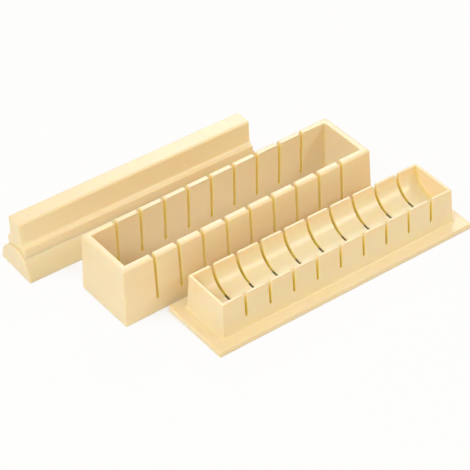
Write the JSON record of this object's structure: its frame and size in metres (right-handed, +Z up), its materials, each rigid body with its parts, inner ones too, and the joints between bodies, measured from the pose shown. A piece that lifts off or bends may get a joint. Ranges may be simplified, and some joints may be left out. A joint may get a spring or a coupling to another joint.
{
  "type": "sushi rice mold press",
  "caption": "Hand mold for rolled sushi: flanged tray with a slotted half-round trough, an open slotted frame that fits over it, and a half-round press with a ridge handle.",
  "frame": {"origin": "centre of the tray's underside, in the plane of the table that all three parts stand on", "axes": "+X along the tray's trough (the roll's length), +Y from the tray towards the frame and the press that stand behind it, +Z up"},
  "size_m": [0.2784, 0.1794, 0.0469],
  "materials": {
    "ivory_plastic": "satin"
  },
  "bodies": {
    "tray": {"base_tray": "ivory_plastic"},
    "frame": {"slotted_frame": "ivory_plastic"},
    "press": {"press_shell": "ivory_plastic", "press_handle": "ivory_plastic"}
  },
  "joints": [
    {"name": "frame_lift", "type": "slide", "parent": "tray", "child": "frame", "axis": [0, 0, 1], "range_m": [0, 0.08]},
    {"name": "press_lift", "type": "slide", "parent": "tray", "child": "press", "axis": [0, 0, 1], "range_m": [0, 0.08]}
  ]
}
